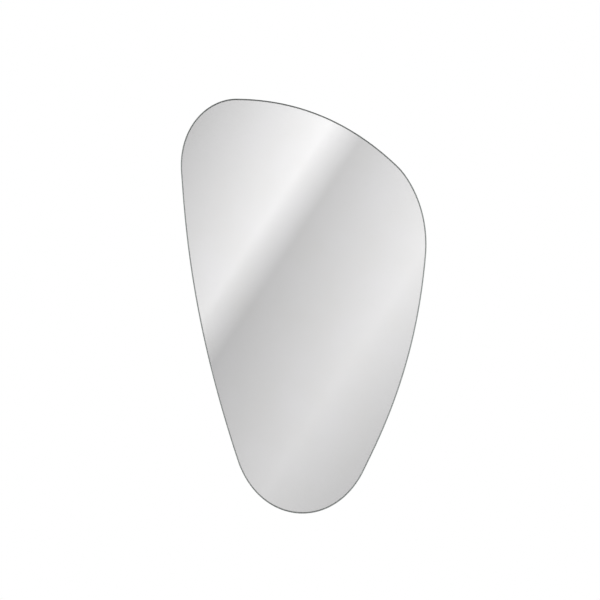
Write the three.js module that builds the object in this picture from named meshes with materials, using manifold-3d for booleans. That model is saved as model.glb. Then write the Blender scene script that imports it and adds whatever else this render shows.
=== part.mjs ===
// A frameless wall mirror with an irregular, pebble-like outline. The silvered pane hangs by two
// pressed steel plates on two grooved levelling discs, which turn off-centre on wall screws, and two
// spacers keep its lower end parallel to the wall.
//
// Millimetres, +Z up. The wall is the plane y = 0 and the mirror faces -Y. The origin lies on the
// wall midway between the two wall screws, straight above the pane's centre of gravity. Left and
// right are as seen from the front.

import * as THREE from "three";
import { mergeVertices } from "three/addons/utils/BufferGeometryUtils.js";
import Module from "manifold-3d";

const wasm = await Module();
wasm.setup();

// ---- Driving dimensions ----

// The outline is a closed chain of cubic curves, clockwise as seen from the front. Each anchor is
// measured from the middle of the outline's box; heading is the direction of travel in degrees, and
// before and after are the lengths of its two handles.
const outlineAnchors = [
  { x: -224.8, z: 246.1, heading: 93.9, before: 110, after: 81 }, // widest on the left
  { x: -121.9, z: 380.1, heading: -0.6, before: 56, after: 132 }, // top
  { x: 173.2, z: 255.6, heading: -44.0, before: 95, after: 27 }, // right shoulder
  { x: 224.2, z: 93.3, heading: -94.8, before: 85, after: 204 }, // widest on the right
  { x: 110.9, z: -300.2, heading: -115.8, before: 70, after: 128 }, // into the lower round
  { x: -121.3, z: -282.3, heading: -251.7, before: 127, after: 264 }, // out of the lower round
];
const stepsPerCurve = 28;
const outlineMiddle = { x: 5, z: -200 }; // puts the centre of gravity under the origin

const wallGap = 13; // from the wall to the painted back
const paintThickness = 0.1;
const silverThickness = 0.1;
const glassThickness = 5;
const frontArris = 2.0; // ground flat at 45 degrees round the front edge
const backArris = 1.0;
const coatingInset = 1.2; // the coatings stop just inside the back arris

const hookSpacing = 200; // between the two wall screws
const tapeThickness = 1;

const plate = { size: 80, corner: 6, thickness: 1, raise: 6, below: 6 };
const plateSlope = { foot: 62, top: 56, footCorner: 6, topCorner: 5, wall: 1.2 };
const plateWindow = { width: 34, height: 36, corner: 4 };
const plateTape = { outer: 78, inner: 64, outerCorner: 5, innerCorner: 4 };

const disc = { eccentricity: 3, holeRadius: 2.6 };
const discRear = { radius: 11, thickness: 4.5, chamfer: 0.6 };
const discGroove = { radius: 7, width: 2, hookGap: 0.2 };
const discFront = { radius: 10, thickness: 2, chamfer: 0.5 };
const discNotch = { count: 8, radius: 1.6, beyondRim: 0.6, web: 0.6 };
const discCore = { radius: 8.7, depth: 2.4, bossRadius: 4.8, ribs: 3, ribWidth: 1.1 };

const washer = { radius: 6, holeRadius: 2.5, thickness: 0.8 };
const screw = { radius: 2.25, length: 50, point: 6 };
const screwHead = { radius: 4.25, height: 2.1, dome: 1.5 };
const screwRecess = { span: 4.6, width: 1.1, depth: 1.3 };

const plug = { radius: 4, boreRadius: 2.4, mouth: 0.5, end: 40, taper: 3, tipRadius: 3 };
const plugRib = { pitch: 3.5, depth: 0.4, step: 0.6 };
const plugSlit = { width: 1, from: 12, to: 34 };
const plugFin = { reach: 5.2, root: 2.8, thickness: 1, from: 2, to: 10 };

const cutOvershoot = 1; // how far a cutting tool passes the face that it cuts

const spacer = { radius: 16, chamfer: 0.8, offset: 70, z: -430 };
const spacerTapeRadius = 15;
const foot = { radius: 13, thickness: 2.5, proud: 1.5, edge: 0.6, fit: 0.3 };

// ---- Depths worked out from the driving dimensions, from the wall at 0 to the front ----

const paintBack = -wallGap;
const silverBack = paintBack - paintThickness;
const glassBack = silverBack - silverThickness;
const glassFront = glassBack - glassThickness;
const tapeBack = paintBack + tapeThickness;
const flangeBack = tapeBack + plate.thickness;
const panelBack = flangeBack + plate.raise;
const discFrontFace = -(discRear.thickness + discGroove.width + discFront.thickness);
const washerFront = discFrontFace - washer.thickness;
const windowTop = disc.eccentricity + discGroove.radius + discGroove.hookGap;

// ---- Materials ----

const finish = (color, roughness, metalness = 0) =>
  new THREE.MeshStandardMaterial({ color, roughness, metalness });

const materials = {
  glass: new THREE.MeshStandardMaterial({
    color: "#dfeae4",
    roughness: 0.02,
    metalness: 0,
    transparent: true,
    opacity: 0.35,
  }),
  silver: finish("#e6e8e7", 0.02, 1),
  paint: finish("#8d9498", 0.55),
  tape: finish("#2b2c2e", 0.9),
  zinc: finish("#b9bdc0", 0.35, 1),
  nylon: finish("#e9e8e2", 0.5),
  screwSteel: finish("#c9c6ba", 0.3, 1),
  plugNylon: finish("#8f9396", 0.6),
  spacerPlastic: finish("#d9dadb", 0.5),
  rubber: finish("#3a3b3d", 0.8),
};

// ---- Geometry helpers ----

// A closed solid through rings that hold equally many points, each clockwise as seen from the
// front. The rings run from front to back. Open ends are capped with a fan about their middle;
// a looped loft joins its last ring to its first and so has a hole through it.
function loft(rings, looped = false) {
  const count = rings[0].length;
  const positions = rings.flat().flatMap((p) => [p.x, p.y, p.z]);
  const index = [];
  const bands = looped ? rings.length : rings.length - 1;
  for (let band = 0; band < bands; band++) {
    const a = band * count;
    const b = ((band + 1) % rings.length) * count;
    for (let i = 0; i < count; i++) {
      const j = (i + 1) % count;
      index.push(a + i, a + j, b + i, a + j, b + j, b + i);
    }
  }
  if (!looped) {
    for (const [ring, isFront] of [[0, true], [rings.length - 1, false]]) {
      const middle = new THREE.Vector3();
      rings[ring].forEach((p) => middle.addScaledVector(p, 1 / count));
      const centre = positions.length / 3;
      positions.push(middle.x, middle.y, middle.z);
      for (let i = 0; i < count; i++) {
        const here = ring * count + i;
        const next = ring * count + ((i + 1) % count);
        index.push(centre, isFront ? next : here, isFront ? here : next);
      }
    }
  }
  const geometry = new THREE.BufferGeometry();
  geometry.setAttribute("position", new THREE.Float32BufferAttribute(positions, 3));
  geometry.setIndex(index);
  geometry.computeVertexNormals();
  return geometry;
}

// One ring of the pane's outline at depth y, moved inwards by inset along the curve's normal.
function outlineRing(inset, y) {
  const handle = (anchor, length) => {
    const angle = THREE.MathUtils.degToRad(anchor.heading);
    return new THREE.Vector2(anchor.x + length * Math.cos(angle), anchor.z + length * Math.sin(angle));
  };
  const ring = [];
  outlineAnchors.forEach((anchor, i) => {
    const next = outlineAnchors[(i + 1) % outlineAnchors.length];
    const curve = new THREE.CubicBezierCurve(
      new THREE.Vector2(anchor.x, anchor.z),
      handle(anchor, anchor.after),
      handle(next, -next.before),
      new THREE.Vector2(next.x, next.z),
    );
    for (let step = 0; step < stepsPerCurve; step++) {
      const point = curve.getPoint(step / stepsPerCurve);
      const travel = curve.getTangent(step / stepsPerCurve);
      ring.push(
        new THREE.Vector3(
          outlineMiddle.x + point.x + travel.y * inset,
          y,
          outlineMiddle.z + point.y - travel.x * inset,
        ),
      );
    }
  });
  return ring;
}

// A rounded rectangle at depth y, clockwise from its top left corner, with its middle at height z.
function rectangleRing(width, height, corner, y, z = 0) {
  const cornerSteps = 6;
  const ring = [];
  for (const [sideX, sideZ, start] of [[-1, 1, 180], [1, 1, 90], [1, -1, 0], [-1, -1, -90]]) {
    for (let step = 0; step <= cornerSteps; step++) {
      const angle = THREE.MathUtils.degToRad(start - (90 * step) / cornerSteps);
      ring.push(
        new THREE.Vector3(
          sideX * (width / 2 - corner) + corner * Math.cos(angle),
          y,
          z + sideZ * (height / 2 - corner) + corner * Math.sin(angle),
        ),
      );
    }
  }
  return ring;
}

// A solid of revolution about the Y axis, from [radius, y] pairs with y rising up its outside.
function turned(profile, segments = 32) {
  return new THREE.LatheGeometry(
    profile.map(([radius, y]) => new THREE.Vector2(radius, y)),
    segments,
  );
}

// A round rod along the Y axis, from one depth to another.
function rod(radius, from, to, segments) {
  const geometry = new THREE.CylinderGeometry(radius, radius, to - from, segments);
  return geometry.translate(0, (from + to) / 2, 0);
}

// A box from one depth to another, with its middle at x on the plane z = 0.
function bar(width, height, from, to, x = 0) {
  return new THREE.BoxGeometry(width, to - from, height).translate(x, (from + to) / 2, 0);
}

// Booleans: geometries turn into solids, and the result turns back into one geometry.
function solidOf(geometry) {
  const bare = geometry.clone();
  bare.deleteAttribute("normal");
  bare.deleteAttribute("uv");
  const merged = mergeVertices(bare, 1e-4);
  return new wasm.Manifold(
    new wasm.Mesh({
      numProp: 3,
      vertProperties: new Float32Array(merged.attributes.position.array),
      triVerts: new Uint32Array(merged.index.array),
    }),
  );
}

function combine(base, added = [], removed = []) {
  let solid = solidOf(base);
  for (const piece of added) solid = solid.add(solidOf(piece));
  for (const piece of removed) solid = solid.subtract(solidOf(piece));
  const mesh = solid.getMesh();
  const geometry = new THREE.BufferGeometry();
  geometry.setAttribute("position", new THREE.BufferAttribute(mesh.vertProperties, 3));
  geometry.setIndex(new THREE.BufferAttribute(mesh.triVerts, 1));
  geometry.computeVertexNormals();
  return geometry;
}

// ---- The pane and its coatings ----

// Float glass with a flat polished edge between its two satin arrises.
function glassPane() {
  return loft([
    outlineRing(frontArris, glassFront),
    outlineRing(0, glassFront + frontArris),
    outlineRing(0, glassBack - backArris),
    outlineRing(backArris, glassBack),
  ]);
}

// A thin layer of even thickness on the back of the pane.
function coating(front, back) {
  return loft([outlineRing(coatingInset, front), outlineRing(coatingInset, back)]);
}

// ---- Hanging plates, about the wall screw's axis ----

// A square of foam tape with its middle cut out for the plate's pocket.
function hangingTape() {
  const { outer, inner, outerCorner, innerCorner } = plateTape;
  const ring = (size, corner, y) => rectangleRing(size, size, corner, y, -plate.below);
  return loft(
    [
      ring(outer, outerCorner, paintBack),
      ring(outer, outerCorner, tapeBack),
      ring(inner, innerCorner, tapeBack),
      ring(inner, innerCorner, paintBack),
    ],
    true,
  );
}

// Sheet steel pressed into a flat flange and a raised panel. The window's top edge is the hook
// that drops into the disc's groove; its lower part lets the disc's front collar in.
function hangingPlate() {
  const ring = (size, corner, y) => rectangleRing(size, size, corner, y, -plate.below);
  const windowRing = (y) =>
    rectangleRing(
      plateWindow.width,
      plateWindow.height,
      plateWindow.corner,
      y,
      windowTop - plateWindow.height / 2,
    );
  const { foot: slopeFoot, top: slopeTop, footCorner, topCorner, wall } = plateSlope;
  const panelFront = panelBack - plate.thickness;
  return loft(
    [
      ring(plate.size, plate.corner, tapeBack),
      ring(plate.size, plate.corner, flangeBack),
      ring(slopeFoot, footCorner, flangeBack),
      ring(slopeTop, topCorner, panelBack),
      windowRing(panelBack),
      windowRing(panelFront),
      ring(slopeTop - wall, topCorner - wall / 2, panelFront),
      ring(slopeFoot - wall, footCorner - wall / 2, tapeBack),
    ],
    true,
  );
}

// ---- Wall fixings, about the wall screw's axis ----

// What is cored out of the disc from behind: a round pocket, less a boss about the screw hole and
// the ribs, each of which runs right across.
function discPockets() {
  const { radius, depth, bossRadius, ribs, ribWidth } = discCore;
  const from = -depth - cutOvershoot;
  const to = 2 * cutOvershoot;
  const pocket = rod(radius, -depth, cutOvershoot, 36).translate(0, 0, disc.eccentricity);
  const boss = rod(bossRadius, from, to, 24);
  const spokes = Array.from({ length: ribs }, (_, i) =>
    bar(2 * discRear.radius, ribWidth, from, to)
      .rotateY((Math.PI * (i + 0.5)) / ribs)
      .translate(0, 0, disc.eccentricity),
  );
  return combine(pocket, [], [boss, ...spokes]);
}

// A grooved disc with its screw hole off-centre, so that turning it raises or lowers its side of
// the mirror. It is drawn with its high side up. Notches in the rear collar give fingers a grip.
function levellingDisc() {
  const grooveBack = -discRear.thickness;
  const grooveFront = grooveBack - discGroove.width;
  const body = turned(
    [
      [0, discFrontFace],
      [discFront.radius - discFront.chamfer, discFrontFace],
      [discFront.radius, discFrontFace + discFront.chamfer],
      [discFront.radius, grooveFront],
      [discGroove.radius, grooveFront],
      [discGroove.radius, grooveBack],
      [discRear.radius - discRear.chamfer, grooveBack],
      [discRear.radius, grooveBack + discRear.chamfer],
      [discRear.radius, 0],
      [0, 0],
    ],
    48,
  ).translate(0, 0, disc.eccentricity);
  const hole = rod(disc.holeRadius, discFrontFace - cutOvershoot, cutOvershoot, 24);
  const notchCircle = discRear.radius + discNotch.beyondRim;
  const notches = Array.from({ length: discNotch.count }, (_, i) => {
    const angle = (2 * Math.PI * (i + 0.5)) / discNotch.count;
    const notch = rod(discNotch.radius, grooveBack + discNotch.web, cutOvershoot, 12);
    return notch.translate(
      notchCircle * Math.cos(angle),
      0,
      disc.eccentricity + notchCircle * Math.sin(angle),
    );
  });
  return combine(body, [], [hole, discPockets(), ...notches]);
}

function screwWasher() {
  return turned([
    [washer.radius, washerFront],
    [washer.radius, discFrontFace],
    [washer.holeRadius, discFrontFace],
    [washer.holeRadius, washerFront],
    [washer.radius, washerFront],
  ]);
}

// A pan-headed wood screw with a cross recess.
function wallScrew() {
  const headTop = washerFront - screwHead.height;
  const tip = washerFront + screw.length;
  const domeSteps = 4;
  const dome = Array.from({ length: domeSteps + 1 }, (_, i) => {
    const angle = (Math.PI / 2) * (i / domeSteps);
    return [
      screwHead.radius * Math.sin(angle),
      headTop + screwHead.dome * (1 - Math.cos(angle)),
    ];
  });
  const body = turned([
    ...dome,
    [screwHead.radius, washerFront],
    [screw.radius, washerFront],
    [screw.radius, tip - screw.point],
    [0, tip],
  ]);
  const { span, width, depth } = screwRecess;
  const from = headTop - cutOvershoot;
  const to = headTop + depth;
  return combine(body, [], [bar(span, width, from, to), bar(width, span, from, to)]);
}

// An expansion plug for an 8 mm hole, ribbed outside, slit in four along its middle, with two
// fins that stop it turning.
function wallPlug() {
  const { radius, boreRadius, mouth, end, taper, tipRadius } = plug;
  const outside = [[radius, mouth]];
  for (let y = mouth + plugRib.pitch; y < end - plugRib.pitch; y += plugRib.pitch) {
    outside.push([radius, y - plugRib.step], [radius - plugRib.depth, y]);
  }
  outside.push([radius, end - taper], [tipRadius, end]);
  const body = turned([...outside, [boreRadius, end], [boreRadius, mouth], [radius, mouth]]);
  const finMiddle = (plugFin.root + plugFin.reach) / 2;
  const fins = [-finMiddle, finMiddle].map((x) =>
    bar(plugFin.reach - plugFin.root, plugFin.thickness, plugFin.from, plugFin.to, x),
  );
  const across = 2 * (radius + cutOvershoot);
  return combine(body, fins, [
    bar(across, plugSlit.width, plugSlit.from, plugSlit.to),
    bar(plugSlit.width, across, plugSlit.from, plugSlit.to),
  ]);
}

// ---- Lower spacers, about their own axis ----

function spacerTape() {
  return turned([
    [0, paintBack],
    [spacerTapeRadius, paintBack],
    [spacerTapeRadius, tapeBack],
    [0, tapeBack],
  ]);
}

// A moulded puck with a shallow seat for its rubber foot.
function spacerPuck() {
  const { radius, chamfer } = spacer;
  const rim = -foot.proud;
  const seat = foot.radius + foot.fit;
  return turned([
    [0, tapeBack],
    [radius - chamfer, tapeBack],
    [radius, tapeBack + chamfer],
    [radius, rim - chamfer],
    [radius - chamfer, rim],
    [seat, rim],
    [seat, -foot.thickness],
    [0, -foot.thickness],
  ]);
}

function spacerFoot() {
  const { radius, thickness, edge } = foot;
  return turned([
    [0, -thickness],
    [radius, -thickness],
    [radius, -edge],
    [radius - edge, 0],
    [0, 0],
  ]);
}

// ---- Assembly ----

function named(name, geometry, material, x = 0, z = 0) {
  const mesh = new THREE.Mesh(geometry, material);
  mesh.name = name;
  mesh.position.set(x, 0, z);
  return mesh;
}

const mirror = new THREE.Group();
mirror.add(
  named("glass_pane", glassPane(), materials.glass),
  named("silver_layer", coating(glassBack, silverBack), materials.silver),
  named("back_paint", coating(silverBack, paintBack), materials.paint),
);

const wallFixings = new THREE.Group();
for (const [side, sign] of [["left", -1], ["right", 1]]) {
  const hookX = (sign * hookSpacing) / 2;
  const spacerX = sign * spacer.offset;
  mirror.add(
    named(`${side}_plate_tape`, hangingTape(), materials.tape, hookX),
    named(`${side}_hanging_plate`, hangingPlate(), materials.zinc, hookX),
    named(`${side}_spacer_tape`, spacerTape(), materials.tape, spacerX, spacer.z),
    named(`${side}_spacer`, spacerPuck(), materials.spacerPlastic, spacerX, spacer.z),
    named(`${side}_spacer_foot`, spacerFoot(), materials.rubber, spacerX, spacer.z),
  );
  wallFixings.add(
    named(`${side}_levelling_disc`, levellingDisc(), materials.nylon, hookX),
    named(`${side}_screw_washer`, screwWasher(), materials.zinc, hookX),
    named(`${side}_wall_screw`, wallScrew(), materials.screwSteel, hookX),
    named(`${side}_wall_plug`, wallPlug(), materials.plugNylon, hookX),
  );
}

const wallMirror = new THREE.Group();
wallMirror.add(mirror, wallFixings);

export default wallMirror;
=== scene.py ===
import math

import bmesh
import bpy
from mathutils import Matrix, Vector
from mathutils.geometry import interpolate_bezier


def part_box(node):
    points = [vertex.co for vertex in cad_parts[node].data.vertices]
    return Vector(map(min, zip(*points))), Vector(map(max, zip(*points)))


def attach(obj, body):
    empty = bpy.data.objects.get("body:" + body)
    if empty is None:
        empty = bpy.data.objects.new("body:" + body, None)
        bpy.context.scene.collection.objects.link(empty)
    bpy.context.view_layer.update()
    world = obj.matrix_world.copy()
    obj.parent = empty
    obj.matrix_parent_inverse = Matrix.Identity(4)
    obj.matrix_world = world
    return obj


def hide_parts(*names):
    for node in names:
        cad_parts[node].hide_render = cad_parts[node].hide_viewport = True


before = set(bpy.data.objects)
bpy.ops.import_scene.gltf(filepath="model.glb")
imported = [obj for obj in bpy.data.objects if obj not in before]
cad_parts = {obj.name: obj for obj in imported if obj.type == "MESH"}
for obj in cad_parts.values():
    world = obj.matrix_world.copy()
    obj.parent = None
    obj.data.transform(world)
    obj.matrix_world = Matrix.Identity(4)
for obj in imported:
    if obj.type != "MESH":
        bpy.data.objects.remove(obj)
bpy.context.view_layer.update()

mm = 0.001
turn = 2 * math.pi


# Small helpers for colours, nodes and materials

def linear(hexColour):
    # sRGB hex to the linear colour that the sockets take
    channels = [int(hexColour[i:i + 2], 16) / 255 for i in (1, 3, 5)]
    return [c / 12.92 if c <= 0.04045 else ((c + 0.055) / 1.055) ** 2.4 for c in channels] + [1]


def perSize(millimetres):
    # texture scale that gives one feature of a pattern this real size
    return 1 / (millimetres * mm)


def setInputs(tree, node, inputs):
    # an input given as a socket is linked, anything else is set on the input itself
    for name, value in inputs.items():
        if isinstance(value, bpy.types.NodeSocket):
            tree.links.new(value, node.inputs[name])
        else:
            node.inputs[name].default_value = value


def addNode(tree, kind, inputs=None, stops=(), **settings):
    # stops are a colour ramp's positions and hex colours
    node = tree.nodes.new("ShaderNode" + kind)
    for name, value in settings.items():
        setattr(node, name, value)
    setInputs(tree, node, inputs or {})
    for i, (position, colour) in enumerate(stops):
        elements = node.color_ramp.elements
        element = elements[i] if i < 2 else elements.new(position)
        element.position = position
        element.color = linear(colour)
    return node


def startMaterial(name):
    material = bpy.data.materials.new(name)
    material.use_nodes = True
    return material, material.node_tree, material.node_tree.nodes["Principled BSDF"]


# Small helpers for shapes. A ring is a list of points, a profile is a list of rows that
# each end in a trim, and a loft skins rings that hold equally many points.

def easeCorners(profile, steps=4, closed=False):
    # rounds each profile corner with a curve that starts and ends its trim away from it
    rows = []
    for i, (*corner, trim) in enumerate(profile):
        if trim == 0 or (not closed and i in (0, len(profile) - 1)):
            rows.append(corner)
            continue
        sides = []
        for neighbour in (profile[i - 1], profile[(i + 1) % len(profile)]):
            away = [b - a for a, b in zip(corner, neighbour)]
            share = trim / math.hypot(away[0], away[-1])
            sides.append([a + share * d for a, d in zip(corner, away)])
        for step in range(steps + 1):
            t = step / steps
            weights = ((1 - t) ** 2, 2 * t * (1 - t), t * t)
            rows.append([
                weights[0] * a + weights[1] * b + weights[2] * c
                for a, b, c in zip(sides[0], corner, sides[1])
            ])
    return rows


def circleRing(radius, y, middle=(0, 0), count=96):
    # middle is x and z, everything in mm
    return [
        Vector((
            middle[0] + radius * math.cos(turn * i / count),
            y,
            middle[1] + radius * math.sin(turn * i / count),
        ))
        for i in range(count)
    ]


def rectangleRing(halfWidth, halfHeight, corner, middleZ, y, middleX=0, cornerSteps=10):
    ring = []
    for sideX, sideZ, start in ((-1, 1, 180), (1, 1, 90), (1, -1, 0), (-1, -1, -90)):
        for step in range(cornerSteps + 1):
            angle = math.radians(start - 90 * step / cornerSteps)
            ring.append(Vector((
                middleX + sideX * (halfWidth - corner) + corner * math.cos(angle),
                y,
                middleZ + sideZ * (halfHeight - corner) + corner * math.sin(angle),
            )))
    return ring


def loft(name, rings, closed=False, slotOf=None):
    # rings are in mm; slotOf gives the material slot of the band after a ring
    shape = bmesh.new()
    rows = [[shape.verts.new(point * mm) for point in ring] for ring in rings]
    bands = list(zip(rows, rows[1:] + rows[:1]))
    for band, (near, far) in enumerate(bands if closed else bands[:-1]):
        for i in range(len(near)):
            j = (i + 1) % len(near)
            face = shape.faces.new((near[i], near[j], far[j], far[i]))
            face.material_index = slotOf(band) if slotOf else 0
    if not closed:
        shape.faces.new(rows[0])
        shape.faces.new(rows[-1])
    bmesh.ops.recalc_face_normals(shape, faces=shape.faces)
    mesh = bpy.data.meshes.new(name)
    shape.to_mesh(mesh)
    shape.free()
    return mesh


def turned(name, profile, middle=(0, 0), count=96, steps=4, closed=False):
    # revolves (radius, y, trim) rows about an axis along Y
    rows = easeCorners(profile, steps, closed)
    return loft(name, [circleRing(radius, y, middle, count) for radius, y in rows], closed)


def addObject(name, mesh):
    thing = bpy.data.objects.new(name, mesh)
    bpy.context.scene.collection.objects.link(thing)
    return thing


def carve(thing, tools, operation="DIFFERENCE"):
    # cuts the tools out of a thing, or joins them to it, and keeps plain mesh
    for tool in tools:
        modifier = thing.modifiers.new("carve", "BOOLEAN")
        modifier.operation = operation
        modifier.solver = "EXACT"
        modifier.object = tool
    graph = bpy.context.evaluated_depsgraph_get()
    result = bpy.data.meshes.new_from_object(thing.evaluated_get(graph))
    thing.modifiers.clear()
    thing.data = result
    for tool in tools:
        bpy.data.objects.remove(tool)


def addPiece(name, mesh, body, node, materials, sharpAbove=32):
    # a finished piece, which stands for its CAD node and moves with its body
    thing = mesh if isinstance(mesh, bpy.types.Object) else addObject(name, mesh)
    thing.name = name
    thing.data.shade_smooth()
    thing.data.set_sharp_from_angle(angle=math.radians(sharpAbove))
    weigh = thing.modifiers.new("weigh", "WEIGHTED_NORMAL")  # flats stay flat beside bends
    weigh.keep_sharp = True
    for material in materials:
        thing.data.materials.append(material)
    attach(thing, body)
    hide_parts(node)
    return thing


def middleOf(node):
    # x and z of a node's middle, in mm
    low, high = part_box(node)
    return ((low.x + high.x) / 2 / mm, (low.z + high.z) / 2 / mm)


# The camera stands straight before the pane, as in the photograph

photo = {
    "pixels": 600,  # the photograph is square
    "paneWidth": 245.9,  # pixels across the outline
    "paneMiddle": (303.15, 305.65),  # the pixel at the middle of the outline
    "distance": 3000,  # mm from the glass; the view shows no perspective
    "sensor": 36,  # mm across
}

paneLow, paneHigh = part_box("glass_pane")
paneMiddle = (paneLow + paneHigh) / 2
pixel = (paneHigh.x - paneLow.x) / photo["paneWidth"]  # metres at the pane
framing = [(at - (photo["pixels"] - 1) / 2) * pixel for at in photo["paneMiddle"]]
cameraAt = Vector((
    paneMiddle.x - framing[0],
    paneLow.y - photo["distance"] * mm,
    paneMiddle.z + framing[1],
))

cameraData = bpy.data.cameras.new("camera")
cameraData.sensor_width = photo["sensor"]
cameraData.lens = photo["sensor"] * photo["distance"] * mm / (photo["pixels"] * pixel)
camera = addObject("camera", cameraData)
camera.location = cameraAt
camera.rotation_euler = (math.pi / 2, 0, 0)
bpy.context.scene.camera = camera
bpy.context.scene.view_settings.view_transform = "Standard"
print("camera set:", round(cameraData.lens, 1), "mm lens")


# The studio: white behind everything, three soft lamps, a pale floor and glowing toned paper all
# round, painted reflections which show only as what the glass and the metal reflect

studio = {
    "ambient": {  # the light all round, by the direction that it comes from
        "heights": (-0.2, 0.8),  # from this far below the horizon to this far above
        "strengths": (0.56, 0.12),
        "fromRight": 0.16,
    },
    "lamps": {
        "leftLamp": {"at": (-3000, -300, 150), "size": 1500, "watts": 55},
        "rightLamp": {"at": (3000, -300, -150), "size": 1500, "watts": 55},
        "backLamp": {"at": (1700, 2300, 1300), "size": 1500, "watts": 66},
    },
    "floorDrop": 570,  # mm below the pane
    "floorRadius": 1900,
    "floorEdge": (0.45, 0.97),  # shares of the radius between which it fades into the white
    "floorColour": "#F6F6F6",
    "floorGlow": 0.65,  # share of its own light, like a lit table
}

paper = {
    "radius": 3500,
    "height": 2600,
    "sweep": 1700,  # radius of the curve by which its walls run into its floor
    "sweepSteps": 12,
    "foldsPerHalf": 60,
    "bandAngle": 56.6,  # degrees up from the horizontal
    "bands": [  # mm across the bands, as they show in the pane, and the tone that glows there: painted reflection
        (-350, "#BFBFBF"),
        (-145, "#EDEDED"),
        (-80, "#BFBFBF"),
        (127, "#E4E4E4"),
        (239, "#D0D0D0"),
        (330, "#BFBFBF"),
    ],
    "bandReach": 400,  # mm from the pane's middle, as far as their glow gets lighter
    "lighterAlong": 0.45,  # share of glow gained per metre along the bands, up to the right: painted light
    "gain": 1.065,  # brightens the glow to make up for what the glass and silver take
    "floorFade": (3400, 1500),  # mm in front, between which the bands fade along the floor
    "floorFaded": 0.45,
    "floorTone": "#DCDCDC",
    "ceiling": "#8C8C8C",
    "rear": [  # mm to the right behind the mirror, and the tone there
        (-3400, "#8E8E8E"),
        (-2300, "#FAFAFA"),
        (0, "#989898"),
        (2300, "#FAFAFA"),
        (3400, "#8E8E8E"),
    ],
}


def whiteWorld():
    world = bpy.data.worlds.new("studio")
    world.use_nodes = True
    tree = world.node_tree
    tree.nodes.clear()
    light = studio["ambient"]
    toSky = addNode(tree, "SeparateXYZ", {0: addNode(tree, "TexCoord").outputs["Generated"]})
    byHeight = addNode(tree, "MapRange", {
        "Value": toSky.outputs["Z"],
        "From Min": light["heights"][0],
        "From Max": light["heights"][1],
        "To Min": light["strengths"][0],
        "To Max": light["strengths"][1],
    })
    strength = addNode(tree, "Math", {
        0: toSky.outputs["X"],
        1: light["fromRight"],
        2: byHeight.outputs["Result"],
    }, operation="MULTIPLY_ADD")
    ambient = addNode(tree, "Background", {
        "Color": linear("#FFFFFF"),
        "Strength": strength.outputs[0],
    })
    white = addNode(tree, "Background", {"Color": linear("#FFFFFF"), "Strength": 1.0})
    ray = addNode(tree, "LightPath")
    seen = addNode(tree, "Math", {
        0: ray.outputs["Is Camera Ray"],
        1: ray.outputs["Is Glossy Ray"],
    }, operation="MAXIMUM")
    shown = addNode(tree, "Math", {
        0: seen.outputs[0],
        1: ray.outputs["Is Transmission Ray"],
    }, operation="MAXIMUM")
    mix = addNode(tree, "MixShader", {
        0: shown.outputs[0],
        1: ambient.outputs[0],
        2: white.outputs[0],
    })
    addNode(tree, "OutputWorld", {"Surface": mix.outputs[0]})
    bpy.context.scene.world = world


def addLamps():
    for name, lamp in studio["lamps"].items():
        data = bpy.data.lights.new(name, "AREA")
        data.shape = "DISK"
        data.size = lamp["size"] * mm
        data.energy = lamp["watts"]
        thing = addObject(name, data)
        thing.location = Vector(lamp["at"]) * mm
        thing.rotation_euler = (thing.location - paneMiddle).to_track_quat("Z", "Y").to_euler()
        thing.visible_glossy = False
        thing.visible_transmission = False


def addRoundSheet(name, radius, middle):
    shape = bmesh.new()
    bmesh.ops.create_circle(shape, cap_ends=True, radius=radius, segments=128)
    bmesh.ops.translate(shape, verts=shape.verts, vec=middle)
    mesh = bpy.data.meshes.new(name)
    shape.to_mesh(mesh)
    shape.free()
    return addObject(name, mesh)


def addFloor():
    radius = studio["floorRadius"] * mm
    z = paneLow.z - studio["floorDrop"] * mm
    floor = addRoundSheet("floor", radius, (0, 0, z))
    material, tree, surface = startMaterial("matt painted floor")
    coordinates = addNode(tree, "TexCoord")
    distance = addNode(tree, "VectorMath", {
        0: coordinates.outputs["Object"],
        1: (0, 0, z),
    }, operation="DISTANCE")
    fade = addNode(tree, "MapRange", {
        "Value": distance.outputs["Value"],
        "From Min": studio["floorEdge"][0] * radius,
        "From Max": studio["floorEdge"][1] * radius,
        "To Min": studio["floorGlow"],
    }, interpolation_type="SMOOTHSTEP")
    ray = addNode(tree, "LightPath")
    faded = addNode(tree, "Math", {
        0: fade.outputs["Result"],
        1: ray.outputs["Is Camera Ray"],
    }, operation="MULTIPLY")
    setInputs(tree, surface, {"Base Color": linear(studio["floorColour"]), "Roughness": 0.9})
    white = addNode(tree, "Emission", {"Color": linear("#FFFFFF"), "Strength": 1.0})
    shown = addNode(tree, "MixShader", {
        0: faded.outputs[0],
        1: surface.outputs[0],
        2: white.outputs[0],
    })
    oneSided = addNode(tree, "MixShader", {  # a view from below looks through it
        0: addNode(tree, "NewGeometry").outputs["Backfacing"],
        1: shown.outputs[0],
        2: addNode(tree, "BsdfTransparent").outputs[0],
    })
    tree.links.new(oneSided.outputs[0], tree.nodes["Material Output"].inputs["Surface"])
    floor.data.materials.append(material)
    floor.visible_glossy = False
    floor.visible_transmission = False


def glowing(material, tree, colour):
    glow = addNode(tree, "Emission", {"Color": colour})
    tree.links.new(glow.outputs[0], tree.nodes["Material Output"].inputs["Surface"])
    material.cycles.emission_sampling = "NONE"
    return material


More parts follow.
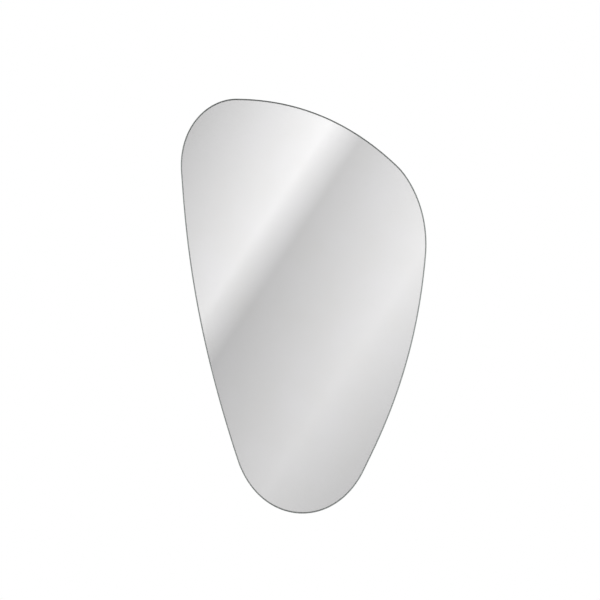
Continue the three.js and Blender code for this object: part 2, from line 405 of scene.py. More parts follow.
def bandedReflectionGlow():
    # Paper that glows in soft slanting bands, a painted reflection that only the glass and the
    # metal show. Each point takes the tone of the spot in the pane where the camera sees it
    # reflected.
    material, tree, _ = startMaterial("backdrop paper glowing in reflection bands")
    place = addNode(tree, "TexCoord").outputs["Object"]
    ahead = addNode(tree, "SeparateXYZ", {0: place}).outputs["Y"]
    reach = addNode(tree, "Math", {0: paneLow.y + photo["distance"] * mm, 1: ahead},
                    operation="SUBTRACT")
    share = addNode(tree, "Math", {0: photo["distance"] * mm, 1: reach.outputs[0]},
                    operation="DIVIDE")
    aside = addNode(tree, "VectorMath", {0: place, 1: cameraAt}, operation="SUBTRACT")
    shrunk = addNode(tree, "VectorMath", {0: aside.outputs[0], "Scale": share.outputs[0]},
                     operation="SCALE")
    atPane = addNode(tree, "VectorMath", {0: shrunk.outputs[0], 1: cameraAt - paneMiddle},
                     operation="ADD").outputs[0]
    lean = math.radians(paper["bandAngle"])
    across, along = (
        addNode(tree, "VectorMath", {0: atPane, 1: direction},
                operation="DOT_PRODUCT").outputs["Value"]
        for direction in (
            (math.sin(lean), 0, -math.cos(lean)),
            (math.cos(lean), 0, math.sin(lean)),
        )
    )
    first, last = paper["bands"][0][0], paper["bands"][-1][0]
    phase = addNode(tree, "MapRange", {
        "Value": across,
        "From Min": first * mm,
        "From Max": last * mm,
    }, clamp=False)
    repeated = addNode(tree, "Math", {0: phase.outputs["Result"]}, operation="FRACT")
    tones = addNode(tree, "ValToRGB", {"Fac": repeated.outputs[0]}, [
        ((at - first) / (last - first), colour) for at, colour in paper["bands"]
    ])
    reachAlong = paper["bandReach"] * mm
    change = reachAlong * paper["lighterAlong"]
    strength = addNode(tree, "MapRange", {
        "Value": along,
        "From Min": -reachAlong,
        "From Max": reachAlong,
        "To Min": paper["gain"] * (1 - change),
        "To Max": paper["gain"] * (1 + change),
    })
    lit = addNode(tree, "VectorMath", {
        0: tones.outputs["Color"],
        "Scale": strength.outputs["Result"],
    }, operation="SCALE")
    fade = addNode(tree, "MapRange", {
        "Value": addNode(tree, "Math", {0: ahead}, operation="ABSOLUTE").outputs[0],
        "From Min": paper["floorFade"][0] * mm,
        "From Max": paper["floorFade"][1] * mm,
        "To Max": paper["floorFaded"],
    }, interpolation_type="SMOOTHSTEP")
    mix = addNode(tree, "Mix", {
        "Factor": fade.outputs["Result"],
        6: lit.outputs[0],
        7: linear(paper["floorTone"]),
    }, data_type="RGBA")
    return glowing(material, tree, mix.outputs[2])


def rearPaper():
    # the same paper lit in two tall patches, so that bare metal has light and dusk to show
    material, tree, _ = startMaterial("patch lit backdrop paper")
    place = addNode(tree, "TexCoord").outputs["Object"]
    first, last = paper["rear"][0][0], paper["rear"][-1][0]
    share = addNode(tree, "MapRange", {
        "Value": addNode(tree, "SeparateXYZ", {0: place}).outputs["X"],
        "From Min": first * mm,
        "From Max": last * mm,
    })
    tones = addNode(tree, "ValToRGB", {"Fac": share.outputs["Result"]}, [
        ((at - first) / (last - first), colour) for at, colour in paper["rear"]
    ])
    return glowing(material, tree, tones.outputs["Color"])


def hangPaper(backdrop, material):
    backdrop.data.materials.append(material)
    backdrop.visible_camera = False
    backdrop.visible_diffuse = False
    backdrop.visible_shadow = False


def addCeiling():
    # glows a dim grey as painted dusk, seen only in reflections, so that what faces up reflects
    # dusk
    material, tree, _ = startMaterial("dim glowing ceiling")
    glowing(material, tree, linear(paper["ceiling"]))
    middle = (cameraAt.x, paneLow.y, paper["height"] * mm)
    hangPaper(addRoundSheet("ceiling", paper["radius"] * mm, middle), material)


def addPaper(name, facing, material):
    # half a drum of paper and its floor; facing is -1 before the mirror and 1 behind it
    floor = paneLow.z / mm - studio["floorDrop"]
    section = [(1, floor)]  # starts 1 mm out, so that no face shrinks to a line
    for step in range(paper["sweepSteps"] + 1):
        angle = turn / 4 * step / paper["sweepSteps"]
        section.append((
            paper["radius"] - paper["sweep"] * (1 - math.sin(angle)),
            floor + paper["sweep"] * (1 - math.cos(angle)),
        ))
    section.append((paper["radius"], paper["height"]))
    shape = bmesh.new()
    columns = []
    for fold in range(paper["foldsPerHalf"] + 1):
        angle = turn / 2 * fold / paper["foldsPerHalf"] - turn / 4
        columns.append([
            shape.verts.new((
                cameraAt.x + out * mm * math.sin(angle),
                paneLow.y + facing * out * mm * math.cos(angle),
                z * mm,
            ))
            for out, z in section
        ])
    for left, right in zip(columns, columns[1:]):
        for row in range(len(section) - 1):
            shape.faces.new((left[row], left[row + 1], right[row + 1], right[row]))
    mesh = bpy.data.meshes.new(name)
    shape.to_mesh(mesh)
    shape.free()
    mesh.shade_smooth()
    hangPaper(addObject(name, mesh), material)


whiteWorld()
addLamps()
addFloor()
addPaper("bandedReflectionGlow", -1, bandedReflectionGlow())
addPaper("rearPaper", 1, rearPaper())
addCeiling()
print("studio set")


# Materials

def clearFloat():
    # Float glass, drawn flat on molten tin: clear, dead flat and faintly green in its depth
    material, tree, surface = startMaterial("clear float glass")
    setInputs(tree, surface, {
        "Base Color": linear("#FFFFFF"),
        "Roughness": 0.0,
        "IOR": 1.52,
        "Transmission Weight": 1.0,
    })
    depth = addNode(tree, "VolumeAbsorption", {"Color": linear("#E6F2EE"), "Density": 4.0})
    tree.links.new(depth.outputs[0], tree.nodes["Material Output"].inputs["Volume"])
    return material


def polishedEdge():
    # The same glass, its edge polished on felt wheels: bright, and greener for the longer path
    material, tree, surface = startMaterial("wheel polished glass edge")
    setInputs(tree, surface, {
        "Base Color": linear("#D3E4DB"),
        "Roughness": 0.06,
        "IOR": 1.52,
        "Transmission Weight": 1.0,
    })
    return material


def groundArris():
    # Glass ground at 45 degrees with a fine diamond belt and left satin: a soft grey line.
    # The grit marks are 0.05 mm apart and are drawn at 0.4 mm so that they show.
    material, tree, surface = startMaterial("belt ground glass arris")
    place = addNode(tree, "TexCoord").outputs["Object"]
    grit = addNode(tree, "TexNoise", {
        "Vector": place,
        "Scale": perSize(0.4),
        "Detail": 3.0,
    }).outputs["Fac"]
    bump = addNode(tree, "Bump", {"Height": grit, "Strength": 0.25, "Distance": 0.05 * mm})
    tint = addNode(tree, "ValToRGB", {"Fac": grit}, [(0.3, "#808583"), (0.7, "#8E9391")])
    gloss = addNode(tree, "MapRange", {"Value": grit, "To Min": 0.45, "To Max": 0.6})
    setInputs(tree, surface, {
        "Base Color": tint.outputs["Color"],
        "Roughness": gloss.outputs["Result"],
        "IOR": 1.52,
        "Normal": bump.outputs["Normal"],
    })
    return material


def depositedSilver():
    # Silver deposited from solution on the glass: a true mirror, with the faintest clouding,
    # 90 mm across
    material, tree, surface = startMaterial("chemically deposited silver")
    place = addNode(tree, "TexCoord").outputs["Object"]
    cloud = addNode(tree, "TexNoise", {
        "Vector": place,
        "Scale": perSize(90),
        "Detail": 2.0,
    }).outputs["Fac"]
    tint = addNode(tree, "ValToRGB", {"Fac": cloud}, [(0.3, "#F9F8F8"), (0.7, "#FBFAFB")])
    setInputs(tree, surface, {
        "Base Color": tint.outputs["Color"],
        "Metallic": 1.0,
        "Roughness": 0.0,
    })
    return material


def curtainLacquer():
    # Protective lacquer poured on in a curtain and baked: even cool grey, satin, with a fine
    # orange peel 3 mm across and long faint flow lines 14 mm apart
    material, tree, surface = startMaterial("curtain coated back lacquer")
    place = addNode(tree, "TexCoord").outputs["Object"]
    peel = addNode(tree, "TexNoise", {
        "Vector": place,
        "Scale": perSize(3),
        "Detail": 2.0,
    }).outputs["Fac"]
    stretched = addNode(tree, "Mapping", {"Vector": place, "Scale": (1, 1, 0.05)})
    flow = addNode(tree, "TexNoise", {
        "Vector": stretched.outputs[0],
        "Scale": perSize(14),
        "Detail": 3.0,
    }).outputs["Fac"]
    bump = addNode(tree, "Bump", {"Height": peel, "Strength": 0.35, "Distance": 0.04 * mm})
    tint = addNode(tree, "ValToRGB", {"Fac": flow}, [(0.3, "#868E92"), (0.7, "#8B9397")])
    gloss = addNode(tree, "MapRange", {"Value": flow, "To Min": 0.36, "To Max": 0.46})
    setInputs(tree, surface, {
        "Base Color": tint.outputs["Color"],
        "Roughness": gloss.outputs["Result"],
        "Normal": bump.outputs["Normal"],
    })
    return material


def zincSteel():
    # Mild steel sheet, pressed, then bright zinc plated: blue white and a little cloudy, with
    # the mill's rolling lines, 0.5 mm apart, faint under the zinc
    material, tree, surface = startMaterial("zinc plated pressed steel")
    place = addNode(tree, "TexCoord").outputs["Object"]
    tarnish = addNode(tree, "TexNoise", {
        "Vector": place,
        "Scale": perSize(12),
        "Detail": 4.0,
    }).outputs["Fac"]
    rolled = addNode(tree, "Mapping", {"Vector": place, "Scale": (1, 1, 0.04)})
    lines = addNode(tree, "TexNoise", {
        "Vector": rolled.outputs[0],
        "Scale": perSize(0.5),
        "Detail": 2.0,
    }).outputs["Fac"]
    bump = addNode(tree, "Bump", {"Height": lines, "Strength": 0.12, "Distance": 0.02 * mm})
    tint = addNode(tree, "ValToRGB", {"Fac": tarnish}, [(0.35, "#B4B9BD"), (0.65, "#C6CACC")])
    gloss = addNode(tree, "MapRange", {"Value": tarnish, "To Min": 0.24, "To Max": 0.38})
    setInputs(tree, surface, {
        "Base Color": tint.outputs["Color"],
        "Metallic": 1.0,
        "Roughness": gloss.outputs["Result"],
        "Normal": bump.outputs["Normal"],
    })
    return material


def screwZinc():
    # Rolled screw wire, clear zinc plated: brighter than the sheet, a touch warm, with stains
    # 2.5 mm across
    material, tree, surface = startMaterial("clear zinc plated screw steel")
    place = addNode(tree, "TexCoord").outputs["Object"]
    tarnish = addNode(tree, "TexNoise", {
        "Vector": place,
        "Scale": perSize(2.5),
        "Detail": 3.0,
    }).outputs["Fac"]
    tint = addNode(tree, "ValToRGB", {"Fac": tarnish}, [(0.35, "#BDBBB2"), (0.65, "#CFCEC8")])
    gloss = addNode(tree, "MapRange", {"Value": tarnish, "To Min": 0.2, "To Max": 0.32})
    setInputs(tree, surface, {
        "Base Color": tint.outputs["Color"],
        "Metallic": 1.0,
        "Roughness": gloss.outputs["Result"],
    })
    return material


def foamTape():
    # Closed-cell foam slit from a roll: dull charcoal. Its cut cells are 0.3 mm across and
    # are drawn at 0.5 mm so that they show.
    material, tree, surface = startMaterial("slit closed-cell foam")
    place = addNode(tree, "TexCoord").outputs["Object"]
    cells = addNode(tree, "TexVoronoi", {
        "Vector": place,
        "Scale": perSize(0.5),
    }).outputs["Distance"]
    bump = addNode(tree, "Bump", {"Height": cells, "Strength": 0.6, "Distance": 0.1 * mm})
    # the colour darkens towards each cell's middle, where the bump sinks: painted shade in the
    # hollows
    tint = addNode(tree, "ValToRGB", {"Fac": cells}, [(0.1, "#232527"), (0.7, "#34373A")])
    setInputs(tree, surface, {
        "Base Color": tint.outputs["Color"],
        "Roughness": 0.95,
        "Normal": bump.outputs["Normal"],
    })
    return material


def mouldedPlastic(name, darker, lighter, smooth, rough, grain):
    # Injection moulded: the tool's spark-eroded grain in the surface, and its even colour
    # broken a little where the melt met. Grain is in mm.
    material, tree, surface = startMaterial(name)
    place = addNode(tree, "TexCoord").outputs["Object"]
    texture = addNode(tree, "TexNoise", {
        "Vector": place,
        "Scale": perSize(grain),
        "Detail": 2.0,
    }).outputs["Fac"]
    melt = addNode(tree, "TexNoise", {
        "Vector": place,
        "Scale": perSize(9),
        "Detail": 2.0,
    }).outputs["Fac"]
    bump = addNode(tree, "Bump", {"Height": texture, "Strength": 0.3, "Distance": 0.03 * mm})
    tint = addNode(tree, "ValToRGB", {"Fac": melt}, [(0.3, darker), (0.7, lighter)])
    gloss = addNode(tree, "MapRange", {"Value": texture, "To Min": smooth, "To Max": rough})
    setInputs(tree, surface, {
        "Base Color": tint.outputs["Color"],
        "Roughness": gloss.outputs["Result"],
        "IOR": 1.5,
        "Normal": bump.outputs["Normal"],
    })
    return material


glass = clearFloat()
edge = polishedEdge()
arris = groundArris()
silver = depositedSilver()
lacquer = curtainLacquer()
steel = zincSteel()
screwSteel = screwZinc()
foam = foamTape()
discPlastic = mouldedPlastic("moulded natural nylon", "#DDD9CB", "#E6E3D8", 0.34, 0.46, 0.4)
plugPlastic = mouldedPlastic("moulded grey nylon", "#80868A", "#8D9397", 0.4, 0.52, 0.4)
spacerPlastic = mouldedPlastic("moulded ABS", "#C9CBCB", "#D3D5D5", 0.42, 0.56, 0.3)
rubber = mouldedPlastic("moulded rubber", "#2A2B2D", "#343537", 0.66, 0.82, 0.5)
print("materials made")


# The pane: glass, silver and lacquer

pane = {
    "anchors": [  # mm: x, z, heading in degrees, handle before, handle after, clockwise
        (-224.8, 246.1, 93.9, 110, 81),
        (-121.9, 380.1, -0.6, 56, 132),
        (173.2, 255.6, -44.0, 95, 27),
        (224.2, 93.3, -94.8, 85, 204),
        (110.9, -300.2, -115.8, 70, 128),
        (-121.3, -282.3, -251.7, 127, 264),
    ],
    "stepsPerCurve": 84,
    "frontArris": 2.0,
    "backArris": 1.0,
    "softening": 0.12,
    "hold": 1.3,  # a flat starts this many softenings from its corner
    "flatUpTo": 15,  # degrees; a band less steep is glass face, one steeper than
    "uprightFrom": 75,  # this is polished edge, and one between them is ground arris
    "coatingInset": 1.2,
    "lacquerEdge": 0.05,
    "airLine": 0.01,  # keeps the layers from sharing a face
}


def paneOutline():
    def along(heading, length):
        angle = math.radians(heading)
        return Vector((length * math.cos(angle), 0, length * math.sin(angle)))

    points = []
    anchors = pane["anchors"]
    for here, there in zip(anchors, anchors[1:] + anchors[:1]):
        start = Vector((here[0], 0, here[1]))
        end = Vector((there[0], 0, there[1]))
        leaving = start + along(here[2], here[4])
        arriving = end - along(there[2], there[3])
        curve = interpolate_bezier(start, leaving, arriving, end, pane["stepsPerCurve"] + 1)
        points += curve[:-1]

    def fitted(axis):
        # spreads the outline over the glass's own box along one axis
        values = [point[axis] for point in points]
        low, high = paneLow[axis] / mm, paneHigh[axis] / mm
        share = (high - low) / (max(values) - min(values))
        return [low + (value - min(values)) * share for value in values]

    placed = [Vector((x, 0, z)) for x, z in zip(fitted(0), fitted(2))]
    rows = []
    for i, point in enumerate(placed):
        travel = (placed[(i + 1) % len(placed)] - placed[i - 1]).normalized()
        rows.append((point, Vector((-travel.z, 0, travel.x))))
    return rows


outline = paneOutline()


def paneRing(inset, y):
    return [Vector((p.x - out.x * inset, y, p.z - out.z * inset)) for p, out in outline]


def holdFlats(profile, margin):
    # adds a point near both ends of every side, so that the flat between stays flat in the
    # smooth shading
    rows = []
    for here, there in zip(profile, profile[1:]):
        rows.append(here)
        share = margin / math.dist(here[:2], there[:2])
        for t in (share, 1 - share):
            rows.append((*(a + t * (b - a) for a, b in zip(here[:2], there[:2])), 0))
    return [*rows, profile[-1]]


def addPane():
    front, back = paneLow.y / mm, paneHigh.y / mm
    soft = pane["softening"]
    rows = easeCorners(holdFlats([
        (2 * pane["frontArris"], front, 0),
        (pane["frontArris"], front, soft),
        (0, front + pane["frontArris"], soft),
        (0, back - pane["backArris"], soft),
        (pane["backArris"], back, soft),
        (2 * pane["frontArris"], back, 0),
    ], pane["hold"] * soft), steps=2)

    def slotOf(band):
        inwards = abs(rows[band + 1][0] - rows[band][0])
        backwards = abs(rows[band + 1][1] - rows[band][1])
        steepness = math.degrees(math.atan2(backwards, inwards))
        return 0 if steepness < pane["flatUpTo"] else 1 if steepness > pane["uprightFrom"] else 2

    slab = loft("glassSlab", [paneRing(*row) for row in rows], slotOf=slotOf)
    addPiece("glassSlab", slab, "mirror", "glass_pane", [glass, edge, arris])

    silverLow, silverHigh = (corner.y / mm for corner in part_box("silver_layer"))
    film = loft("silverFilm", [
        paneRing(pane["coatingInset"], silverLow + pane["airLine"]),
        paneRing(pane["coatingInset"], silverHigh - pane["airLine"]),
    ])
    addPiece("silverFilm", film, "mirror", "silver_layer", [silver])

    paintLow, paintHigh = (corner.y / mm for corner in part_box("back_paint"))
    coat = loft("lacquerCoat", [
        paneRing(pane["coatingInset"], paintLow + pane["airLine"]),
        paneRing(pane["coatingInset"], paintHigh - pane["lacquerEdge"]),
        paneRing(pane["coatingInset"] + pane["lacquerEdge"], paintHigh),
    ])
    addPiece("lacquerCoat", coat, "mirror", "back_paint", [lacquer])


addPane()
print("pane built:", len(outline), "points round")


# Hanging plates and the foam that bonds them on

plate = {
    "half": 40,
    "corner": 6,
    "sheet": 1,
    "slopeFoot": 31,
    "slopeTop": 28,
    "slopeCorner": 5.5,
    "insideCorner": 5,
    "wall": 0.6,  # how far the slope's inside lies within its outside
    "bend": 0.9,
    "shearedEdge": 0.12,
    "window": (17, 18, 4),  # half width, half height, corner; its top edge is the hook
    "discCollar": 4,  # how far the disc stands out from the groove that the hook drops into
    "hookGap": 0.2,
    "tapeOuter": (39, 5),
    "tapeInner": (32, 4),
    "tapeWaist": 0.2,  # how far the foam's sides draw in between its faces
}


def addPlate(side):
    low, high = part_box(side + "_hanging_plate")
    x, z = middleOf(side + "_hanging_plate")
    front, back = low.y / mm, high.y / mm
    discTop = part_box(side + "_levelling_disc")[1].z / mm
    hookZ = discTop - plate["discCollar"] + plate["hookGap"]
    windowHalf, windowTall, windowCorner = plate["window"]
    windowZ = hookZ - windowTall
    bend, sheared, sheet = plate["bend"], plate["shearedEdge"], plate["sheet"]

    def square(half, corner, y, trim):
        return (half, half, corner, z, y, trim)

    def window(y):
        return (windowHalf, windowTall, windowCorner, windowZ, y, sheared)

    foot, top, wall = plate["slopeFoot"], plate["slopeTop"], plate["wall"]
    corner, inside = plate["slopeCorner"], plate["insideCorner"]
    rows = easeCorners([
        square(plate["half"], plate["corner"], front, sheared),
        square(plate["half"], plate["corner"], front + sheet, sheared),
        square(foot, corner, front + sheet, bend),
        square(top, corner, back, bend),
        window(back),
        window(back - sheet),
        square(top - wall, inside, back - sheet, bend),
        square(foot - wall, inside, front, bend),
    ], closed=True)
    rings = [rectangleRing(*row, middleX=x) for row in rows]
    pressing = loft(side + "PlatePressing", rings, closed=True)
    addPiece(side + "PlatePressing", pressing, "mirror", side + "_hanging_plate",
             [steel])

    tapeLow, tapeHigh = (corner.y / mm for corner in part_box(side + "_plate_tape"))
    waist, middle = plate["tapeWaist"], (tapeLow + tapeHigh) / 2
    (outer, outerCorner), (inner, innerCorner) = plate["tapeOuter"], plate["tapeInner"]
    section = [
        (outer, outerCorner, tapeLow),
        (outer - waist, outerCorner, middle),
        (outer, outerCorner, tapeHigh),
        (inner, innerCorner, tapeHigh),
        (inner + waist, innerCorner, middle),
        (inner, innerCorner, tapeLow),
    ]
    rings = [rectangleRing(half, half, corner, z, y, middleX=x) for half, corner, y in section]
    tape = loft(side + "PlateTape", rings, closed=True)
    addPiece(side + "PlateTape", tape, "mirror", side + "_plate_tape", [foam])


for side in ("left", "right"):
    addPlate(side)
print("hanging plates built")


# Levelling discs, washers, screws and plugs, each about its wall screw's axis

overshoot = 1  # mm by which a cutter passes the face that it cuts

disc = {
    "offCentre": 3,
    "rearRadius": 11,
    "rearDepth": 4.5,
    "grooveRadius": 7,
    "grooveWidth": 2,
    "frontRadius": 10,
    "holeRadius": 2.6,
    "notches": 8,
    "notchRadius": 1.6,
    "notchBeyond": 0.6,
    "notchWeb": 0.6,
    "rounding": 0.5,
    "edge": 0.25,  # the lesser roundings
    "grooveEdge": 0.3,
    "pointsRound": 120,
    "flatRun": 2,  # how much of a flat a profile draws beside a rounding, to aim it
    "coreRadius": 8.7,  # cored out from behind, round a boss for the screw
    "coreDepth": 2.4,
    "coreFillet": 0.4,
    "bossRadius": 4.8,
    "ribs": 3,  # right across, so twice as many spokes
    "ribWidth": 1.1,
    "ribCorner": 0.1,
}


def addDisc(side):
    axis = middleOf(side + "_wall_screw")
    middle = (axis[0], axis[1] + disc["offCentre"])
    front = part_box(side + "_levelling_disc")[0].y / mm
    grooveBack, grooveFront = -disc["rearDepth"], -disc["rearDepth"] - disc["grooveWidth"]
    soft, lesser, grooveEdge = disc["rounding"], disc["edge"], disc["grooveEdge"]
    outside = easeCorners([  # its end rows only aim the roundings, and are left out
        (disc["holeRadius"] + disc["flatRun"], front, 0),
        (disc["frontRadius"], front, soft),
        (disc["frontRadius"], grooveFront, lesser),
        (disc["grooveRadius"], grooveFront, grooveEdge),
        (disc["grooveRadius"], grooveBack, grooveEdge),
        (disc["rearRadius"], grooveBack, soft),
        (disc["rearRadius"], 0, lesser),
        (disc["holeRadius"] + disc["flatRun"], 0, 0),
    ])
    rings = [circleRing(radius, y, middle, disc["pointsRound"]) for radius, y in outside[1:-1]]
    bore = easeCorners([
        (disc["rearRadius"], 0, 0),
        (disc["holeRadius"], 0, lesser),
        (disc["holeRadius"], front, lesser),
        (disc["rearRadius"], front, 0),
    ])
    rings += [circleRing(radius, y, axis, disc["pointsRound"]) for radius, y in bore[1:-1]]
    body = addObject(side + "DiscMoulding", loft(side + "DiscMoulding", rings, closed=True))
    notchCircle = disc["rearRadius"] + disc["notchBeyond"]
    tools = []
    for i in range(disc["notches"]):
        angle = turn * (i + 0.5) / disc["notches"]
        at = (
            middle[0] + notchCircle * math.cos(angle),
            middle[1] + notchCircle * math.sin(angle),
        )
        tools.append(addObject("notch", turned("notch", [
            (disc["notchRadius"], grooveBack + disc["notchWeb"], 0),
            (disc["notchRadius"], overshoot, 0),
        ], at, count=32)))
    core = addObject("core", turned("core", [
        (disc["coreRadius"] - disc["flatRun"], -disc["coreDepth"], 0),
        (disc["coreRadius"], -disc["coreDepth"], disc["coreFillet"]),
        (disc["coreRadius"], overshoot, 0),
    ], middle, count=72))
    keptDepths = (-disc["coreDepth"] - overshoot, 2 * overshoot)
    kept = [addObject("boss", turned("boss", [
        (disc["bossRadius"], y, 0) for y in keptDepths
    ], axis, count=64))]
    for i in range(disc["ribs"]):
        rib = addObject("rib", loft("rib", [
            rectangleRing(disc["rearRadius"], disc["ribWidth"] / 2, disc["ribCorner"], 0, y,
                          cornerSteps=2)
            for y in keptDepths
        ]))
        rib.location = Vector((middle[0], 0, middle[1])) * mm
        rib.rotation_euler = (0, math.pi * (i + 0.5) / disc["ribs"], 0)
        kept.append(rib)
    carve(core, kept)
    carve(body, tools + [core])
    addPiece(side + "DiscMoulding", body, side + "_disc", side + "_levelling_disc",
             [discPlastic])


screw = {
    "radius": 2.25,
    "core": 1.6,
    "pitch": 1.8,
    "plainNeck": 3,
    "pointLength": 6,
    "tipRadius": 0.08,
    "barePoint": 0.2,  # length of the point that has no thread
    "flank": 2.2,  # how steeply the thread rises; the rest of the pitch is bare core
    "neckExtra": 0.2,  # the plain neck is this much thicker than the core
    "headRadius": 4.25,
    "headHeight": 2.1,
    "headEdge": 0.15,
    "dome": 1.5,
    "domeRings": 8,
    "ringsPerPitch": 8,
    "pointsRound": 36,
    "recess": (4.6, 1.1, 1.3),  # span, width and depth of the cross
    "recessFloor": (0.6, 0.7),  # shares of the span and the width that are left at its floor
    "recessCorners": (0.2, 0.1),  # at its mouth and its floor
}

washer = {
    "radius": 6,
    "hole": 2.5,
    "punchedEdge": 0.2,
    "burrEdge": 0.1,
}


def addScrew(side):
    low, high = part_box(side + "_wall_screw")
    axis = middleOf(side + "_wall_screw")
    headTop, tip = low.y / mm, high.y / mm
    seat = headTop + screw["headHeight"]
    rings = []
    for step in range(1, screw["domeRings"] + 1):
        angle = turn / 4 * step / screw["domeRings"]
        rings.append(circleRing(
            screw["headRadius"] * math.sin(angle),
            headTop + screw["dome"] * (1 - math.cos(angle)),
            axis,
            screw["pointsRound"],
        ))
    for radius, y in (
        (screw["headRadius"], seat - screw["headEdge"]),
        (screw["headRadius"] - screw["headEdge"], seat),
        (screw["core"] + screw["neckExtra"], seat),
    ):
        rings.append(circleRing(radius, y, axis, screw["pointsRound"]))
    threadFrom, threadTo = seat + screw["plainNeck"], tip - screw["barePoint"]
    steps = round((threadTo - threadFrom) / screw["pitch"] * screw["ringsPerPitch"])
    for step in range(steps + 1):
        y = threadFrom + (threadTo - threadFrom) * step / steps
        start = min(1, step / screw["ringsPerPitch"])
        taper = min(1, (tip - y) / screw["pointLength"])
        ring = []
        for i in range(screw["pointsRound"]):
            phase = (i / screw["pointsRound"] - y / screw["pitch"]) % 1
            ridge = max(0, 1 - abs(2 * phase - 1) * screw["flank"])
            core = screw["core"] + screw["neckExtra"] * (1 - start)
            radius = core + (screw["radius"] - core) * ridge * start
            radius = max(screw["tipRadius"], radius * taper)
            angle = turn * i / screw["pointsRound"]
            ring.append(Vector((
                axis[0] + radius * math.cos(angle), y, axis[1] + radius * math.sin(angle)
            )))
        rings.append(ring)
    rings.append(circleRing(screw["tipRadius"] / 2, tip, axis, screw["pointsRound"]))
    body = addObject(side + "Screw", loft(side + "Screw", rings))
    span, width, depth = screw["recess"]
    shareX, shareZ = screw["recessFloor"]
    mouthCorner, floorCorner = screw["recessCorners"]
    tools = []
    for halfX, halfZ in ((span / 2, width / 2), (width / 2, span / 2)):
        tools.append(addObject("recess", loft("recess", [
            rectangleRing(wide, tall, corner, axis[1], y, axis[0], cornerSteps=2)
            for wide, tall, corner, y in (
                (halfX, halfZ, mouthCorner, headTop - overshoot),
                (halfX, halfZ, mouthCorner, headTop),
                (halfX * shareX, halfZ * shareZ, floorCorner, headTop + depth),
            )
        ])))
    carve(body, tools)
    addPiece(side + "Screw", body, "wall_fixings", side + "_wall_screw",
             [screwSteel], sharpAbove=40)

    washerLow, washerHigh = (corner.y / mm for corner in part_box(side + "_screw_washer"))
    stamping = turned(side + "Washer", [
        (washer["radius"], washerLow, washer["punchedEdge"]),
        (washer["radius"], washerHigh, washer["burrEdge"]),
        (washer["hole"], washerHigh, washer["burrEdge"]),
        (washer["hole"], washerLow, washer["punchedEdge"]),
    ], axis, count=64, closed=True)
    addPiece(side + "Washer", stamping, "wall_fixings", side + "_screw_washer",
             [steel])


plug = {
    "radius": 4,
    "bore": 2.4,
    "taper": 3,
    "tipRadius": 3,
    "ribPitch": 3.5,
    "ribDepth": 0.4,
    "ribStep": 0.6,
    "ribEdge": 0.12,
    "mouthEdges": (0.15, 0.2),  # inside and outside
    "taperEdge": 0.3,
    "endEdges": (0.2, 0.1),  # outside and inside
    "slit": (1, 12, 34),  # width, and the depths between which it runs
    "slitCorner": 0.1,
    "fin": (2.8, 5.2, 1, 2, 10),  # root, reach, thickness, and the depths that it spans
    "finRamp": 1.5,  # length of the slope at either end of the fin
    "finEnd": 0.5,  # share of its height that is left at the foot of that slope
    "finCorner": 0.2,
}


def addPlug(side):
    low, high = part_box(side + "_wall_plug")
    axis = middleOf(side + "_wall_plug")
    mouth, end = low.y / mm, high.y / mm
    mouthInside, mouthOutside = plug["mouthEdges"]
    endOutside, endInside = plug["endEdges"]
    profile = [(plug["bore"], mouth, mouthInside), (plug["radius"], mouth, mouthOutside)]
    y = mouth + plug["ribPitch"]
    while y < end - plug["ribPitch"]:
        profile += [
            (plug["radius"], y - plug["ribStep"], plug["ribEdge"]),
            (plug["radius"] - plug["ribDepth"], y, plug["ribEdge"]),
        ]
        y += plug["ribPitch"]
    profile += [
        (plug["radius"], end - plug["taper"], plug["taperEdge"]),
        (plug["tipRadius"], end, endOutside),
        (plug["bore"], end, endInside),
    ]
    sleeve = turned(side + "Plug", profile, axis, count=72, steps=3, closed=True)
    body = addObject(side + "Plug", sleeve)
    root, reach, thick, finFrom, finTo = plug["fin"]
    ramp, left = plug["finRamp"], plug["finEnd"]
    fins = []
    for sign in (-1, 1):
        x = axis[0] + sign * (root + reach) / 2
        half = (reach - root) / 2
        fins.append(addObject("fin", loft("fin", [
            rectangleRing(half * share, thick / 2, plug["finCorner"], axis[1], y,
                          x - sign * half * (1 - share), cornerSteps=3)
            for share, y in (
                (left, finFrom),
                (1, finFrom + ramp),
                (1, finTo - ramp),
                (left, finTo),
            )
        ])))
    carve(body, fins, "UNION")
    width, slitFrom, slitTo = plug["slit"]
    across = plug["radius"] + overshoot
    tools = [
        addObject("slit", loft("slit", [
            rectangleRing(halfX, halfZ, plug["slitCorner"], axis[1], depth, axis[0],
                          cornerSteps=2)
            for depth in (slitFrom, slitTo)
        ]))
        for halfX, halfZ in ((across, width / 2), (width / 2, across))
    ]
    carve(body, tools)
    addPiece(side + "Plug", body, "wall_fixings", side + "_wall_plug",
             [plugPlastic])


for side in ("left", "right"):
    addDisc(side)
    addScrew(side)
    addPlug(side)
print("wall fixings built")


# Lower spacers: foam pad, moulded puck and rubber foot

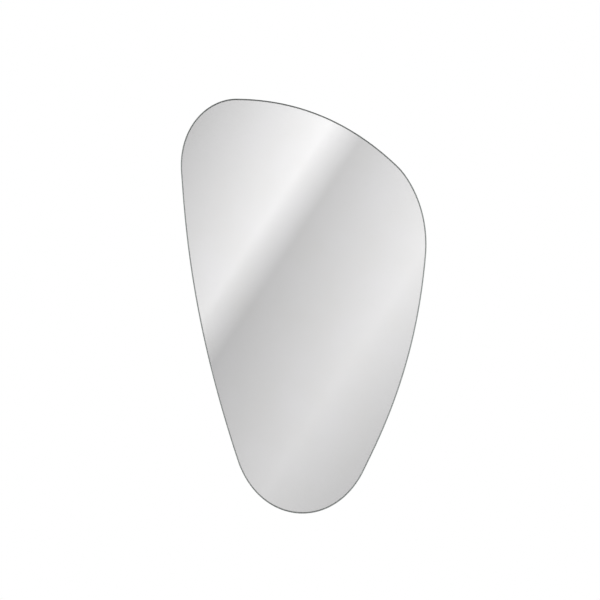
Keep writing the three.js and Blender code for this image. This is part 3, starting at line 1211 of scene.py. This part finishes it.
spacer = {
    "radius": 16,
    "rounding": 0.8,
    "flatRun": 3,  # how much of a flat the profile draws beside a rounding, to aim it
    "seat": 13.3,
    "seatEdge": 0.3,
    "seatFillet": 0.15,
    "seatDepth": 1,
    "footRadius": 13,
    "footRounding": 0.6,
    "footEdge": 0.3,
    "footFlatRun": 2,
    "footMiddle": 1,  # radius of the last ring of the foot's rear face
    "grooves": (4, 7, 10),  # radii of the rings moulded into the foot
    "grooveWidth": 0.9,
    "grooveDepth": 0.5,
    "grooveEdge": 0.1,
    "grooveFillet": 0.15,
}


def addSpacer(side):
    x, z = middleOf(side + "_spacer")
    low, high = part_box(side + "_spacer")
    front, rim = low.y / mm, high.y / mm
    puck = turned(side + "SpacerPuck", [
        (spacer["radius"] - spacer["flatRun"], front, 0),
        (spacer["radius"], front, spacer["rounding"]),
        (spacer["radius"], rim, spacer["rounding"]),
        (spacer["seat"], rim, spacer["seatEdge"]),
        (spacer["seat"], rim - spacer["seatDepth"], spacer["seatFillet"]),
        (spacer["seat"] - spacer["flatRun"], rim - spacer["seatDepth"], 0),
    ], (x, z))
    addPiece(side + "SpacerPuck", puck, "mirror", side + "_spacer",
             [spacerPlastic])

    footLow, footHigh = (corner.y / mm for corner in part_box(side + "_spacer_foot"))
    profile = [
        (spacer["footRadius"] - spacer["footFlatRun"], footLow, 0),
        (spacer["footRadius"], footLow, spacer["footEdge"]),
        (spacer["footRadius"], footHigh, spacer["footRounding"]),
    ]
    for radius in reversed(spacer["grooves"]):
        outer, inner = radius + spacer["grooveWidth"] / 2, radius - spacer["grooveWidth"] / 2
        bottom = footHigh - spacer["grooveDepth"]
        profile += [
            (outer, footHigh, spacer["grooveEdge"]),
            (outer, bottom, spacer["grooveFillet"]),
            (inner, bottom, spacer["grooveFillet"]),
            (inner, footHigh, spacer["grooveEdge"]),
        ]
    profile.append((spacer["footMiddle"], footHigh, 0))
    foot = turned(side + "SpacerFoot", profile, (x, z), steps=2)
    addPiece(side + "SpacerFoot", foot, "mirror", side + "_spacer_foot",
             [rubber])

    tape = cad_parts[side + "_spacer_tape"]
    tape.data.materials.clear()
    tape.data.materials.append(foam)


for side in ("left", "right"):
    addSpacer(side)
print("spacers built")
